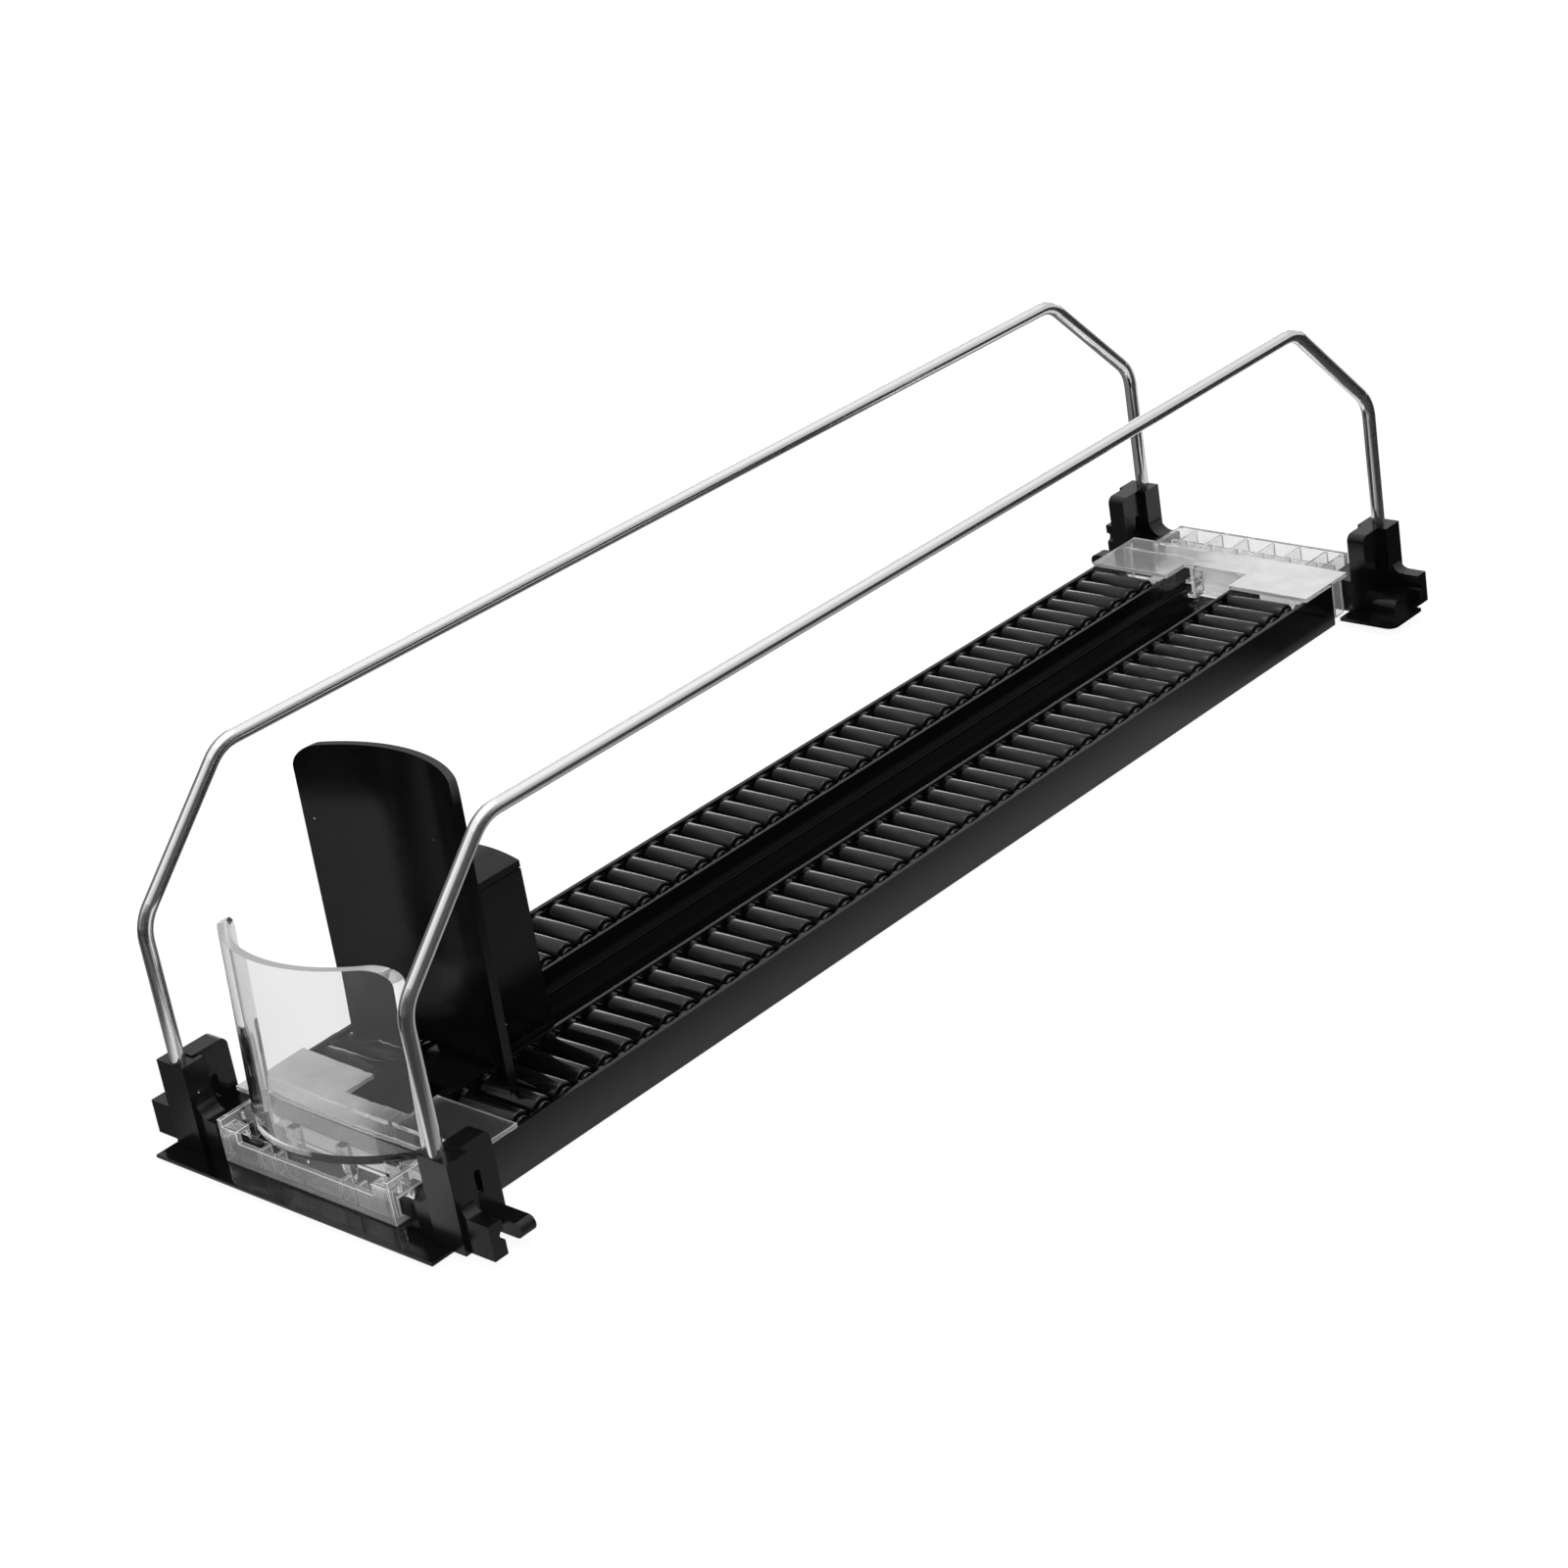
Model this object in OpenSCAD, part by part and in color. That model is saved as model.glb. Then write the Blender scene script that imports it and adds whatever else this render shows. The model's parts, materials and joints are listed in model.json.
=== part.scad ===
// Self-pushing drink and can organizer for a fridge shelf.
// Millimetres. +X to the right, +Y to the rear, +Z up.
// The origin is on the shelf surface, at the middle of the roller deck.

/* [Roller deck] */
// Distance between two roller axes
roller_pitch = 8; // [7.8:0.1:9]
// Diameter of a roller's body
roller_diameter = 7.2; // [6:0.1:7.4]
// Length of a roller's body
roller_length = 20.6; // [16:0.2:21]
// Diameter of the step at each end of a roller
collar_diameter = 4.8; // [3.6:0.1:5.4]
// Diameter of a roller's journals
journal_diameter = 2.7; // [2:0.1:3]
// Height of the roller tops above the wall tops
roller_rise = 0.6; // [0.2:0.1:1.2]

/* [Tray] */
// Outer width of the tray
tray_width = 85; // [84:0.5:96]
// Height of the tray's walls
wall_height = 13.5; // [12.5:0.1:16]
// Thickness of the tray's walls
wall = 1.5; // [1.2:0.1:2]
// Clear width of the pusher channel
channel_width = 25; // [23:0.2:25.4]
// Thickness of the tray's floor
floor_thickness = 2; // [1.2:0.1:3]
// Length of tray beyond the outer edge of the last roller's bay
end_margin = 15.3; // [12:0.1:20]
// Width of the lips that hold the pusher carriage down
lip_width = 2.2; // [1.4:0.1:2.6]
// Thickness of those lips
lip_thickness = 1.3; // [1:0.1:1.6]
// Thickness of the comb rails that carry the rollers
comb_thickness = 1.7; // [1.2:0.1:2]
// Radius of the crown on each comb tooth
tooth_crown = 3.2; // [2.8:0.1:4]

/* [End pieces] */
// Height of the end pieces' undersides above the shelf
foot_lift = 2.2; // [1.6:0.1:3]
// Thickness of the clear end pieces' walls
clear_wall = 1.5; // [1.2:0.1:2]
// How far each end piece reaches over the tray
end_overlap = 14.3; // [12:0.1:14.6]
// How much narrower than the tray the cell block is on each side
cell_inset = 9; // [7.5:0.1:10]
// Depth of the cell block beyond the wide part
cell_depth = 14.2; // [13:0.1:16]
// Depth of the wide part beyond the tray's end
wide_depth = 8.5; // [7.5:0.1:10]
// Height of the front bar under the clear stop
bar_height = 7; // [5:0.1:8]
// Height of the corner blocks beside that bar
corner_height = 10.5; // [9:0.1:11.5]
// Width of the corner blocks
corner_width = 7; // [5:0.1:9]
// Depth of the notch in the cover plate over the channel
notch_depth = 10; // [6:0.1:12]

/* [Front stop] */
// Radius of the curved stop
stop_radius = 43; // [40:0.5:60]
// How far the stop's middle stands out in front of the cell block
stop_proud = 2.4; // [1:0.1:5]
// Backward lean of the stop in degrees
stop_lean = 3.4; // [0:0.1:6]
// Width of the curved stop
stop_width = 66; // [56:0.5:66]
// Height of the stop's top edge
stop_height = 69.4; // [50:0.5:90]
// Thickness of the stop
stop_thickness = 2.4; // [1.8:0.1:3]
// Radius of the stop's top corners
stop_corner = 6; // [3:0.5:12]

/* [Pusher] */
// Distance from the front bar to the pusher plate when the tray is empty
bay_length = 57.5; // [50:0.5:70]
// How far the carriage reaches in front of the pusher plate
nose_reach = 14; // [10:0.5:18]
// Backward lean of the pusher plate in degrees
pusher_lean = 1.1; // [0:0.1:3]
// Radius of the curved pusher plate
pusher_radius = 50; // [40:0.5:80]
// Width of the pusher plate
pusher_width = 62; // [50:0.5:66]
// Height of the pusher plate's top edge
pusher_height = 101.6; // [70:0.5:110]
// Thickness of the pusher plate
pusher_thickness = 2.2; // [1.6:0.1:3]
// Radius of the pusher plate's top corners
pusher_corner = 5.5; // [3:0.5:12]
// Width of the spring housing
housing_width = 24; // [20:0.5:24]
// Depth of the spring housing behind the plate
housing_depth = 20.5; // [19:0.5:30]
// Height of the spring housing's top in the middle
housing_height = 64.4; // [40:0.1:72]
// How much the housing's crowned top falls towards its sides
housing_crown = 1.5; // [0.5:0.1:2]
// Height of the housing's lid at its sides
lid_height = 2; // [1.5:0.1:4]
// Wall thickness of the spring housing
housing_wall = 1.8; // [1.2:0.1:2.4]

/* [Spring] */
// Width of the spring strip
strip_width = 9; // [6:0.5:10]
// Thickness of the spring strip
strip_thickness = 0.3; // [0.2:0.05:0.5]

/* [Brackets] */
// Height of the bracket posts
post_height = 28.4; // [24:0.1:34]
// Width of a post
post_width = 10.8; // [9:0.1:12]
// Depth of a post
post_depth = 6.4; // [5.6:0.1:8]
// Width of the tall rib behind a post
rib_width = 6.1; // [5:0.1:8]
// Depth of the tall rib behind a post
rib_depth = 10.7; // [8:0.1:10.8]
// Height of a bracket's foot above the shelf
foot_height = 12.8; // [11:0.1:13]
// How far the foot reaches inwards from the wire
foot_inner = 11.7; // [11.4:0.1:12.4]
// How far the outer tab reaches from the wire
tab_reach = 15.4; // [13:0.1:17]
// Thickness of the outer tab
tab_thickness = 4.5; // [3:0.1:5]
// Radius of the rib's rounded top corner
rib_corner = 2.4; // [1:0.1:4]
// How far the coupling hook reaches from the wire
hook_reach = 14.1; // [12:0.1:16]
// Radius of the hook's round end
hook_radius = 2.2; // [1.6:0.1:3]
// Depth of the hook
hook_depth = 5; // [4:0.1:7]
// How far the coupling socket reaches from the wire
socket_reach = 12.8; // [11:0.1:14]
// Radius of the socket's rounded front
socket_radius = 4.6; // [3:0.1:5]
// How far the socket's base flange stands out in front of the rib
flange_reach = 7.6; // [5:0.1:9]
// Thickness of that flange
flange_thickness = 1.2; // [1:0.1:2]
// Height of the tongue that slides in the end piece
tongue_height = 4.6; // [3.6:0.1:5]
// Depth of that tongue
tongue_depth = 8.6; // [6:0.1:9]
// Length of that tongue
tongue_length = 14; // [12:0.5:16]
// Width of the slot that makes the tongue a fork
fork_slot = 5.6; // [5.4:0.1:6]

/* [Side wires] */
// Diameter of the wire
wire_diameter = 4.2; // [3:0.1:5]
// Height of the wire's top bar
wire_top = 104.5; // [90:0.5:120]
// Height of the lower bends
wire_bend = 69; // [50:0.5:80]
// Level distance from the legs to the upper bends
wire_slant = 36.1; // [20:0.5:60]
// Radius of the bends
bend_radius = 12; // [8:0.5:16]
// Height of a leg's lower end above the bracket's underside
leg_seat = 6; // [4:0.1:8]
// Distance from the cell block to the left brackets' feet
left_gap = 1.4; // [1.2:0.1:10]
// Distance from the cell block to the rear right bracket's foot
right_gap = 2.5; // [2.2:0.1:8]
// How much further out the right wire stands at the front
right_wire_flare = 6.5; // [0:0.1:8]

/* [Base plate] */
// Length of the front base plate
plate_length = 109; // [100:0.5:114]
// How far the plate stands out in front of the brackets
plate_lip = 7.7; // [4:0.1:12]
// Thickness of the plate
plate_thickness = 1; // [0.8:0.1:1.6]

/* [Clearances] */
// Radial clearance of the roller journals
journal_gap = 0.1; // [0.05:0.01:0.2]
// Sliding clearance of the pusher carriage and the tongues
slide_gap = 0.3; // [0.2:0.05:0.5]
// Gap between pieces that sit side by side
seat_gap = 0.1; // [0.05:0.05:0.3]

/* [Hidden] */
$fn = 64;
roller_rows = 44;
deck_length = roller_rows * roller_pitch;
tray_end = deck_length / 2 + end_margin;
half_w = tray_width / 2;
inner_w = half_w - wall;
channel_half = channel_width / 2;
channel_wall = 1.2;
channel_out = channel_half + channel_wall;
floor_top = floor_thickness;
axle_z = wall_height + roller_rise - roller_diameter / 2;
track_mid = (inner_w + channel_out) / 2;
track_span = inner_w - channel_out;
comb_top = wall_height - 0.5;
slot_half = journal_diameter / 2 + journal_gap;
journal_span = track_span - 2 * seat_gap;
collar_span = track_span - 2 * comb_thickness - 0.8;
lip_z = floor_top + 4.2;
tip_y = tray_end + wide_depth + cell_depth;
cell_y = tray_end + wide_depth;
cell_half = half_w - cell_inset;
top_z = wall_height + clear_wall - 0.1;
over_y = tray_end - end_overlap;
wire_r = wire_diameter / 2;
wire_y = tip_y - 1.5;
post_out = wire_y + 2.5;
post_in = post_out - post_depth;
rib_in = post_in - rib_depth;
foot_out = post_out - 1.2;
post_side = post_width / 2 + 0.65;
post_inner = post_width - post_side;
rib_side = rib_width / 2 + 0.55;
rib_top = post_height + 0.5;
base_z = foot_lift;
tongue_z = base_z + 2;
tongue_y = (foot_out + cell_y) / 2 + 0.1;
leg_bottom = base_z + leg_seat;
left_wire_x = cell_half + left_gap + foot_inner;
right_wire_x = cell_half + right_gap + foot_inner;
arc_back_y = -(tip_y - bay_length);
pusher_half = pusher_width / 2;
pusher_sag = pusher_radius - sqrt(pow(pusher_radius, 2) - pow(pusher_half, 2));
plate_bottom = wall_height + roller_rise + 0.6;
housing_y = arc_back_y + pusher_thickness - 0.6;
housing_back = arc_back_y + pusher_thickness + housing_depth;
carriage_half = channel_half - slide_gap;
nose_top = comb_top - 0.4;
nose_front = arc_back_y - nose_reach;
bend_step = 0.02;
stop_half = stop_width / 2;
stop_y = -(tip_y + stop_proud);
stop_centre = stop_y + stop_radius;
foot_z = top_z + seat_gap;
pin_radius = 2.4;
pin_x = cell_half - 5.2;
pin_z = base_z + clear_wall + pin_radius + slide_gap;
corner_top = base_z + corner_height;
over_tongue = tongue_z + tongue_height + 1;

black = [0.05, 0.05, 0.055];
clear = [0.85, 0.9, 0.93, 0.35];
steel = [0.8, 0.8, 0.82];

function row_y(i) = (i - (roller_rows + 1) / 2) * roller_pitch;

// A box from one corner to the opposite one.
module block(low, high) {
    translate(low) cube(high - low);
}

// A profile drawn in Y and Z, extruded along X.
module along_x(x0, x1) {
    translate([x0, 0, 0]) rotate([90, 0, 90]) linear_extrude(x1 - x0) children();
}

// A profile drawn in X and Z, extruded along Y.
module along_y(y0, y1) {
    translate([0, y1, 0]) rotate([90, 0, 0]) linear_extrude(y1 - y0) children();
}

// Comb rail: a strip with one tooth between each two rollers and a slot for each journal.
module comb_profile(split) {
    tooth_half = roller_pitch / 2 - slot_half;
    difference() {
        union() {
            translate([-deck_length / 2, floor_top - 0.2])
                square([deck_length, axle_z + 0.6 - floor_top + 0.2]);
            for (k = [0 : roller_rows])
                intersection() {
                    translate([row_y(k + 0.5) - tooth_half, axle_z])
                        square([2 * tooth_half, comb_top - axle_z]);
                    translate([row_y(k + 0.5), comb_top - tooth_crown])
                        circle(r = tooth_crown);
                    translate([-deck_length / 2, axle_z])
                        square([deck_length, comb_top - axle_z]);
                }
        }
        for (i = [1 : roller_rows]) {
            translate([row_y(i), axle_z]) circle(r = slot_half, $fn = 32);
            translate([row_y(i) - slot_half, axle_z]) square([2 * slot_half, 9]);
        }
        if (split)
            for (k = [0 : roller_rows])
                translate([row_y(k + 0.5) - 0.5, comb_top - 1.4]) square([1, 3]);
    }
}

// Section of the tray: outer walls that are also its runners, floor, channel walls and lips.
module tray_profile() {
    for (s = [-1, 1]) {
        translate([s * (half_w - wall / 2), wall_height / 2]) square([wall, wall_height], center = true);
        translate([s * (channel_half + channel_wall / 2), wall_height / 2])
            square([channel_wall, wall_height], center = true);
        translate([s * (channel_half + 0.3 - lip_width / 2), lip_z + lip_thickness / 2])
            square([lip_width + 0.6, lip_thickness], center = true);
    }
    translate([-half_w + wall / 2, 0]) square([tray_width - wall, floor_thickness]);
}

module tray() {
    color(black) union() {
        along_y(-tray_end, tray_end) tray_profile();
        for (s = [-1, 1]) {
            along_x(s * (inner_w + 0.3 - comb_thickness / 2) - comb_thickness / 2 - 0.3,
                s * (inner_w + 0.3 - comb_thickness / 2) + comb_thickness / 2 + 0.3) comb_profile(false);
            along_x(s * (channel_out - 0.3 + comb_thickness / 2) - comb_thickness / 2 - 0.3,
                s * (channel_out - 0.3 + comb_thickness / 2) + comb_thickness / 2 + 0.3) comb_profile(true);
        }
    }
}

// One roller: body, a step at each end and two journals that lie in the comb rails.
module roller() {
    rotate([0, 90, 0]) {
        cylinder(d = roller_diameter, h = roller_length, center = true);
        cylinder(d = collar_diameter, h = collar_span, center = true);
        cylinder(d = journal_diameter, h = journal_span, center = true);
    }
}

// The left and the right roller of one row, on one axis.
module roller_row(i) {
    color(black)
        for (s = [-1, 1])
            translate([s * track_mid, row_y(i), axle_z]) roller();
}

// Clear end piece, drawn for the rear end: plate over the tray, end wall, cell block with ribs.
module end_piece(outer_top) {
    difference() {
        union() {
            block([-half_w, over_y, wall_height + seat_gap / 2], [half_w, cell_y, top_z]);
            block([-half_w, tray_end + seat_gap, base_z], [half_w, tray_end + clear_wall + seat_gap, top_z]);
            for (s = [-1, 1]) {
                translate([s * (half_w - clear_wall / 2), tray_end + 2.7, (base_z + top_z) / 2])
                    cube([clear_wall, 5.2, top_z - base_z], center = true);
                translate([s * (cell_half - clear_wall / 2), (cell_y + tip_y) / 2, (base_z + top_z) / 2])
                    cube([clear_wall, cell_depth, top_z - base_z - 0.2], center = true);
            }
            block([-cell_half, tray_end + seat_gap, base_z], [cell_half, tip_y, base_z + clear_wall]);
            block([-cell_half, cell_y - clear_wall, base_z], [cell_half, cell_y, top_z]);
            block([-cell_half, tip_y - clear_wall, base_z], [cell_half, tip_y, outer_top]);
        }
        for (s = [-1, 1])
            translate([s * (cell_half - clear_wall / 2), tongue_y, tongue_z + tongue_height / 2])
                cube([clear_wall + 1, tongue_depth + 2 * slide_gap, tongue_height + 2 * slide_gap], center = true);
        block([-channel_half, over_y - 1, wall_height - 1], [channel_half, over_y + notch_depth, top_z + 1]);
    }
}

// Two C-shaped guides under the cover plate that reach round the channel's lips.
module channel_guides() {
    guide_x = channel_half - lip_width - slide_gap;
    low_z = floor_top + 1.2;
    for (s = [-1, 1]) mirror([s < 0 ? 1 : 0, 0, 0])
        along_y(over_y + notch_depth - 0.6, tray_end + 0.6) {
            translate([guide_x - 1.2, low_z]) square([1.2, top_z - low_z - 0.5]);
            translate([guide_x - 0.2, low_z]) square([lip_width + 0.1, 1.2]);
            translate([guide_x - 0.2, lip_z + lip_thickness + 0.6]) square([lip_width + 0.1, 1.2]);
        }
}

module rear_end_piece() {
    color(clear) union() {
        end_piece(top_z - 0.1);
        channel_guides();
        for (k = [-2.5 : 2.5])
            translate([k * cell_half / 3.2, (cell_y + tip_y) / 2, (over_tongue + top_z) / 2 - 0.1])
                cube([1.2, cell_depth - 1, top_z - over_tongue - 0.2], center = true);
        block([-cell_half + 1, cell_y + 6.4, over_tongue], [cell_half - 1, cell_y + 7.6, top_z - 2]);
    }
}

module front_end_piece() {
    color(clear) mirror([0, 1, 0]) union() {
        end_piece(base_z + bar_height);
        channel_guides();
        for (s = [-1, 1]) mirror([s < 0 ? 1 : 0, 0, 0]) {
            block([cell_half - corner_width, tip_y - clear_wall, base_z + 1], [cell_half, tip_y, corner_top]);
            block([cell_half - corner_width, tip_y - 4.6, corner_top - 1.2], [cell_half - 0.2, tip_y - 0.2, corner_top]);
            block([cell_half - corner_width, tip_y - 4.6, over_tongue], [cell_half - 0.2, tip_y - 3.4, corner_top - 0.2]);
            for (x = [13, cell_half - tongue_length - 0.7])
                block([x - 0.6, tip_y - clear_wall - 3, base_z + 1], [x + 0.6, tip_y - 1, base_z + bar_height - 0.2]);
        }
    }
}

// Outline of a panel with rounded top corners, drawn in X and Z.
module panel_profile(half, low, high, corner) {
    translate([-half, low]) square([2 * half, high - corner - low]);
    translate([-half + corner, low]) square([2 * (half - corner), high - low]);
    for (s = [-1, 1])
        translate([s * (half - corner), high - corner]) circle(r = corner);
}

// A sheet bent to an arc about a vertical axis, with rounded top corners.
module arc_sheet(radius, thickness, half, low, high, corner, towards) {
    angle = asin(half / radius) + 4;
    intersection() {
        translate([0, 0, low])
            rotate([0, 0, towards - angle])
                rotate_extrude(angle = 2 * angle)
                    translate([radius - thickness, 0]) square([thickness, high - low + 2]);
        rotate([90, 0, 0]) linear_extrude(2 * radius + 20, center = true)
            panel_profile(half, low - 1, high, corner);
    }
}

// Curved front stop with a base flange, two pins and two snap hooks that reach into the cells.
module front_stop() {
    flange = 1.6;
    pin_y = -(cell_y + tip_y) / 2 + 0.1;
    hook_low = base_z + clear_wall + 0.6;
    color(clear) union() {
        difference() {
            translate([0, stop_y, foot_z]) rotate([-stop_lean, 0, 0]) translate([0, stop_radius, -foot_z])
                arc_sheet(stop_radius, stop_thickness, stop_half, foot_z - 1, stop_height, stop_corner, 270);
            block([-stop_half - 1, stop_y - 2, foot_z - 6], [stop_half + 1, stop_centre, foot_z]);
        }
        intersection() {
            translate([0, stop_centre, foot_z]) cylinder(r = stop_radius - stop_thickness / 2, h = flange);
            block([-pin_x - 2, stop_y, foot_z - 1], [pin_x + 2, -cell_y + 1, foot_z + flange + 1]);
        }
        for (s = [-1, 1]) {
            block([s * pin_x - 2.4, pin_y - 1.4, pin_z], [s * pin_x + 2.4, pin_y + 1.4, foot_z + 0.6]);
            translate([s * pin_x, pin_y, pin_z])
                rotate([0, 90, 0]) cylinder(r = pin_radius, h = 5.4, center = true);
            translate([s * 9.6, pin_y, 0]) along_x(-1.6, 1.6)
                polygon([[-1.2, foot_z + 0.5], [1.2, foot_z + 0.5], [1.2, hook_low + 3.6], [0, hook_low], [-1.2, hook_low + 3.6]]);
        }
    }
}

module front_base_plate() {
    color(black)
        block([-plate_length / 2, -(foot_out + plate_lip), base_z - seat_gap - plate_thickness],
            [plate_length / 2, -cell_y, base_z - seat_gap]);
}

// Section of the spring housing in X and Z, with its crowned top.
module housing_profile() {
    half = housing_width / 2;
    crown_radius = (half * half + housing_crown * housing_crown) / (2 * housing_crown);
    intersection() {
        translate([-half, plate_bottom - 0.5]) square([2 * half, housing_height - plate_bottom + 1]);
        union() {
            translate([0, housing_height - crown_radius]) circle(r = crown_radius);
            translate([-half, plate_bottom - 0.5]) square([2 * half, housing_height - crown_radius / 2 - plate_bottom]);
        }
    }
}

// Fine seam under the housing's lid, on its sides and its back.
module lid_seam() {
    depth = 0.3;
    seam_z = housing_height - housing_crown - lid_height - 0.4;
    half = housing_width / 2;
    difference() {
        block([-half - 1, housing_y + 3, seam_z], [half + 1, housing_back + 1, seam_z + 0.4]);
        block([-half + depth, housing_y + 2, seam_z - 1], [half - depth, housing_back - depth, seam_z + 2]);
    }
}

// Pusher: curved plate, spring housing behind it and the carriage that runs in the channel.
module pusher() {
    color(black) difference() {
        union() {
            translate([0, arc_back_y, plate_bottom]) rotate([-pusher_lean, 0, 0])
                translate([0, pusher_thickness - pusher_radius, -plate_bottom])
                    arc_sheet(pusher_radius, pusher_thickness, pusher_half, plate_bottom,
                        pusher_height, pusher_corner, 90);
            along_y(housing_y, housing_back) housing_profile();
            block([-carriage_half, housing_y, lip_z + lip_thickness + slide_gap],
                [carriage_half, housing_back, plate_bottom]);
            block([-carriage_half, nose_front, lip_z + lip_thickness + slide_gap],
                [carriage_half, housing_y + 1, nose_top]);
            block([-channel_half + lip_width + slide_gap, nose_front, lip_z - 1],
                [channel_half - lip_width - slide_gap, housing_back, lip_z + lip_thickness + 1]);
            block([-carriage_half, nose_front, floor_top + slide_gap],
                [carriage_half, housing_back, lip_z - slide_gap]);
        }
        block([-housing_width / 2 + housing_wall, housing_y + 2.6, floor_top + 2],
            [housing_width / 2 - housing_wall, housing_back - housing_wall,
                housing_height - housing_crown - housing_wall]);
        lid_seam();
        block([-strip_width / 2 - slide_gap, nose_front - 1, floor_top],
            [strip_width / 2 + slide_gap, housing_back - housing_wall, floor_top + 2.4]);
    }
}

// Straight part of the spring strip, from its anchor at the channel's front into the housing.
module spring_strip() {
    lift_z = floor_top + 1.2;
    color(steel) union() {
        block([-strip_width / 2, -tray_end + 2, lift_z],
            [strip_width / 2, housing_y + 10, lift_z + strip_thickness]);
        block([-strip_width / 2, -tray_end + 2, floor_top + seat_gap / 2],
            [strip_width / 2, -tray_end + 5, lift_z + strip_thickness / 2]);
    }
}

// Side view of a bracket's tall rib, in Y and Z, with its inner top corner rounded.
module rib_profile() {
    translate([rib_in, base_z]) square([rib_depth + 1, rib_top - rib_corner - base_z]);
    translate([rib_in + rib_corner, base_z]) square([rib_depth + 1 - rib_corner, rib_top - base_z]);
    translate([rib_in + rib_corner, rib_top - rib_corner]) circle(r = rib_corner);
}

// Concave fillet in the corner at X and Z, open towards side.
module corner_fillet(x, z, radius, side, y0, y1) {
    along_y(y0, y1) translate([x, z]) scale([side, 1]) difference() {
        translate([-1, -1]) square(radius + 1);
        translate([radius, radius]) circle(r = radius);
    }
}

// Coupling hook: a short arm with a round end.
module coupling_hook() {
    z = base_z + hook_radius + 0.2;
    end_x = hook_reach - hook_radius;
    along_y(rib_in, rib_in + hook_depth) {
        translate([rib_side - 1, z - hook_radius]) square([end_x - rib_side + 1, 2 * hook_radius]);
        translate([end_x, z]) circle(r = hook_radius);
    }
}

// Coupling socket: a rounded block on a base flange with one rounded corner.
module coupling_socket() {
    flange_in = rib_in - flange_reach;
    flange_out = foot_out - tab_thickness;
    flange_x = tab_reach + 2.2;
    flange_corner = 3;
    socket_top = base_z + flange_thickness + 5;
    along_x(rib_side - 1, socket_reach) {
        translate([rib_in + 0.5 + socket_radius, base_z])
            square([flange_out - rib_in - socket_radius, socket_top - base_z]);
        translate([rib_in + 0.5, base_z])
            square([socket_radius + 1, socket_top - socket_radius - base_z]);
        intersection() {
            translate([rib_in + 0.5 + socket_radius, socket_top - socket_radius]) circle(r = socket_radius);
            translate([rib_in, base_z]) square(2 * socket_radius);
        }
    }
    translate([0, 0, base_z]) linear_extrude(flange_thickness) {
        translate([rib_side - rib_width, flange_in])
            square([flange_x - flange_corner - rib_side + rib_width, flange_out + 1 - flange_in]);
        translate([flange_x - flange_corner - 1, flange_in + flange_corner])
            square([flange_corner + 1, flange_out - 3 - flange_in - flange_corner]);
        translate([flange_x - flange_corner, flange_in + flange_corner]) circle(r = flange_corner);
    }
}

// Tongue that slides in the end piece's window, forked so that it passes the stop's pins.
module tongue() {
    difference() {
        block([-foot_inner - tongue_length, tongue_y - tongue_depth / 2, tongue_z],
            [-foot_inner + 1, tongue_y + tongue_depth / 2, tongue_z + tongue_height]);
        block([-foot_inner - tongue_length - 1, tongue_y - fork_slot / 2, tongue_z - 1],
            [-foot_inner - 0.8, tongue_y + fork_slot / 2, tongue_z + tongue_height + 1]);
    }
}

// Bracket, drawn for the rear right corner with the wire's leg on X = 0.
module bracket(hooked) {
    inner_fillet = 5;
    outer_fillet = 3.4;
    slot_y = (rib_in + post_in) / 2 + 1.2;
    difference() {
        union() {
            block([-post_inner, post_in - 1, base_z], [post_side, post_out, post_height]);
            along_x(rib_side - rib_width, rib_side) rib_profile();
            block([-foot_inner, rib_in, base_z], [rib_side, foot_out, foot_height]);
            block([-post_inner, foot_out - tab_thickness, base_z + 0.6], [tab_reach, foot_out, foot_height]);
            corner_fillet(-post_inner, foot_height, inner_fillet, -1, post_in - 1, foot_out);
            corner_fillet(post_side, foot_height, outer_fillet, 1, foot_out - tab_thickness, foot_out);
            tongue();
            if (hooked) coupling_hook();
            else coupling_socket();
        }
        translate([0, wire_y, leg_bottom]) cylinder(r = wire_r + 0.06, h = post_height);
        along_x(-20, 20) {
            translate([slot_y, foot_height + 1.8]) circle(r = 1);
            translate([slot_y, foot_height + 6.8]) circle(r = 1);
            translate([slot_y - 1, foot_height + 1.8]) square([2, 5]);
        }
        along_x(post_side + outer_fillet, tab_reach + 1)
            translate([foot_out - tab_thickness, foot_height - 4.4]) circle(r = 1.5);
    }
}

module front_left_bracket() {
    color(black) translate([-left_wire_x, 0, 0]) rotate([0, 0, 180]) bracket(false);
}

module front_right_bracket() {
    color(black) translate([right_wire_x + right_wire_flare, 0, 0]) mirror([0, 1, 0]) bracket(true);
}

module rear_left_bracket() {
    color(black) translate([-left_wire_x, 0, 0]) mirror([1, 0, 0]) bracket(true);
}

module rear_right_bracket() {
    color(black) translate([right_wire_x, 0, 0]) bracket(false);
}

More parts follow.
